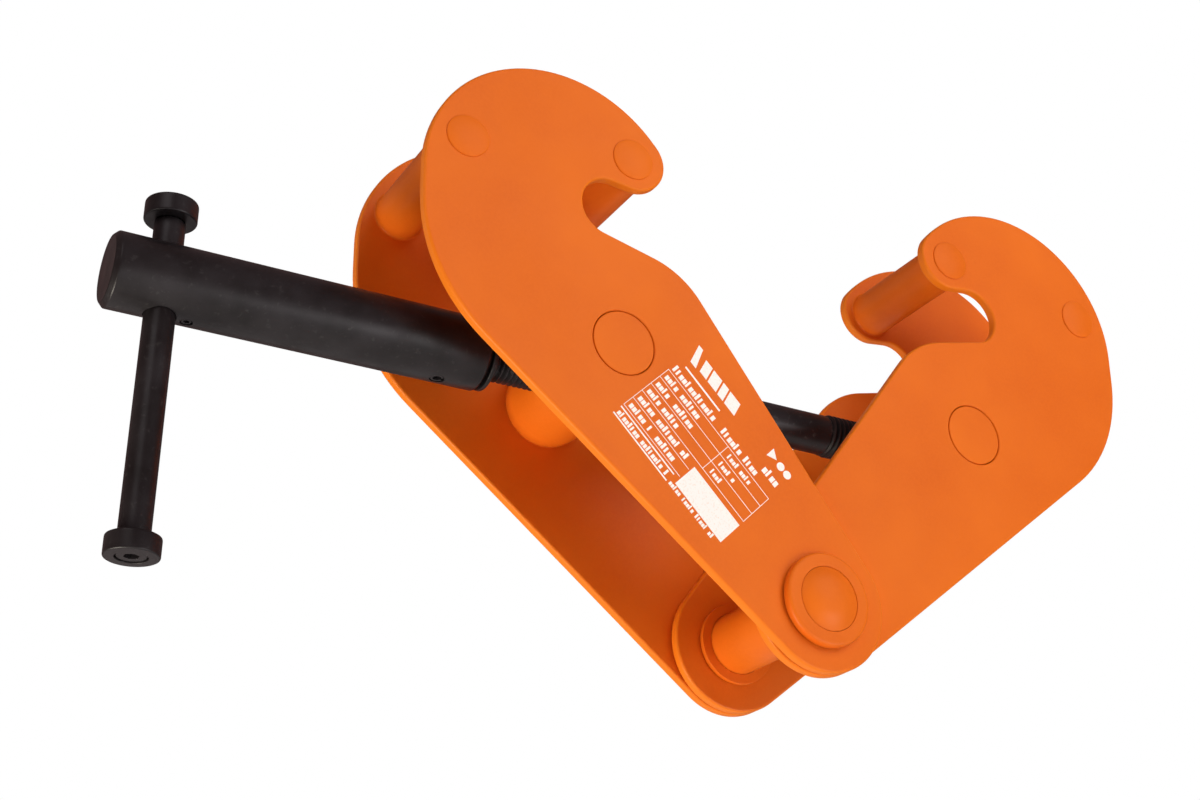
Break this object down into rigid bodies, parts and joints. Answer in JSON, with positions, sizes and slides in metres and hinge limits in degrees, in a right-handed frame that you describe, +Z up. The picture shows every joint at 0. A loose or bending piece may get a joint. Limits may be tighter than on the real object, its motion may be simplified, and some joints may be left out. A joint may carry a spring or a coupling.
{
  "type": "beam clamp",
  "caption": "Screw-adjusted beam clamp: hook jaws on a load pin, opened and closed by a left- and right-hand threaded spindle with a sliding bar handle.",
  "frame": {"origin": "centre of the load pin, midway between the side plates", "axes": "+Z up towards the hook tips, +X along the spindle away from the handle, -Y the side with the rating label"},
  "size_m": [0.393, 0.0768, 0.2034],
  "materials": {
    "plate_paint": "satin orange powder coat on profile-cut steel plate",
    "bar_paint": "satin orange powder coat on turned steel",
    "thread_black": "black oxide, lightly oiled rolled thread",
    "black_steel": "black oxide, satin turned steel"
  },
  "bodies": {
    "load_pin": {"load_pin": "bar_paint", "pivot_washer_front": "bar_paint", "pivot_washer_back": "bar_paint", "spacer_ring_front": "bar_paint", "spacer_ring_back": "bar_paint"},
    "outer_jaw": {"outer_jaw_front_plate": "plate_paint", "outer_jaw_back_plate": "plate_paint", "outer_jaw_tip_bar": "bar_paint", "outer_jaw_heel_bar": "bar_paint"},
    "inner_jaw": {"inner_jaw_front_plate": "plate_paint", "inner_jaw_back_plate": "plate_paint", "inner_jaw_tip_bar": "bar_paint", "inner_jaw_heel_bar": "bar_paint"},
    "outer_trunnion": {"outer_trunnion": "bar_paint"},
    "inner_trunnion": {"inner_trunnion": "bar_paint"},
    "thrust_ring": {"thrust_ring": "black_steel"},
    "spindle": {"spindle_rod": "thread_black", "spindle_sleeve": "black_steel", "roll_pin": "black_steel", "grub_screw": "black_steel", "stop_ring": "black_steel", "stop_pin": "black_steel"},
    "tommy_bar": {"tommy_bar": "black_steel", "tommy_cap_upper": "black_steel", "tommy_cap_lower": "black_steel", "cap_screw_upper": "black_steel", "cap_screw_lower": "black_steel"}
  },
  "joints": [
    {"name": "outer_jaw_swing", "type": "hinge", "parent": "load_pin", "child": "outer_jaw", "pos_m": [0, 0, 0], "axis": [0, -1, 0], "range_deg": [-21.6, 13.5]},
    {"name": "inner_jaw_swing", "type": "hinge", "parent": "load_pin", "child": "inner_jaw", "pos_m": [0, 0, 0], "axis": [0, 1, 0], "range_deg": [-21.6, 13.5]},
    {"name": "outer_trunnion_turn", "type": "hinge", "parent": "outer_jaw", "child": "outer_trunnion", "pos_m": [-0.07613, 0, 0.07884], "axis": [0, 1, 0], "range_deg": [-21.6, 13.5]},
    {"name": "inner_trunnion_turn", "type": "hinge", "parent": "inner_jaw", "child": "inner_trunnion", "pos_m": [0.07613, 0, 0.07884], "axis": [0, -1, 0], "range_deg": [-21.6, 13.5]},
    {"name": "spindle_travel", "type": "slide", "parent": "outer_trunnion", "child": "thrust_ring", "axis": [1, 0, 0], "range_m": [-0.0318, 0.0199]},
    {"name": "spindle_spin", "type": "hinge", "parent": "thrust_ring", "child": "spindle", "pos_m": [0, 0, 0.07884], "axis": [1, 0, 0], "range_deg": [-5710, 3570]},
    {"name": "tommy_bar_slide", "type": "slide", "parent": "spindle", "child": "tommy_bar", "axis": [0, 0, 1], "range_m": [-0.0085, 0.0725]}
  ],
  "couplings": [
    {"joint": "inner_jaw_swing", "follows": "outer_jaw_swing", "ratio": 1},
    {"joint": "outer_trunnion_turn", "follows": "outer_jaw_swing", "ratio": 1},
    {"joint": "inner_trunnion_turn", "follows": "outer_jaw_swing", "ratio": 1},
    {"joint": "spindle_travel", "follows": "outer_jaw_swing", "m_per_rad": 0.084},
    {"joint": "spindle_spin", "follows": "outer_jaw_swing", "ratio": 263.9}
  ]
}
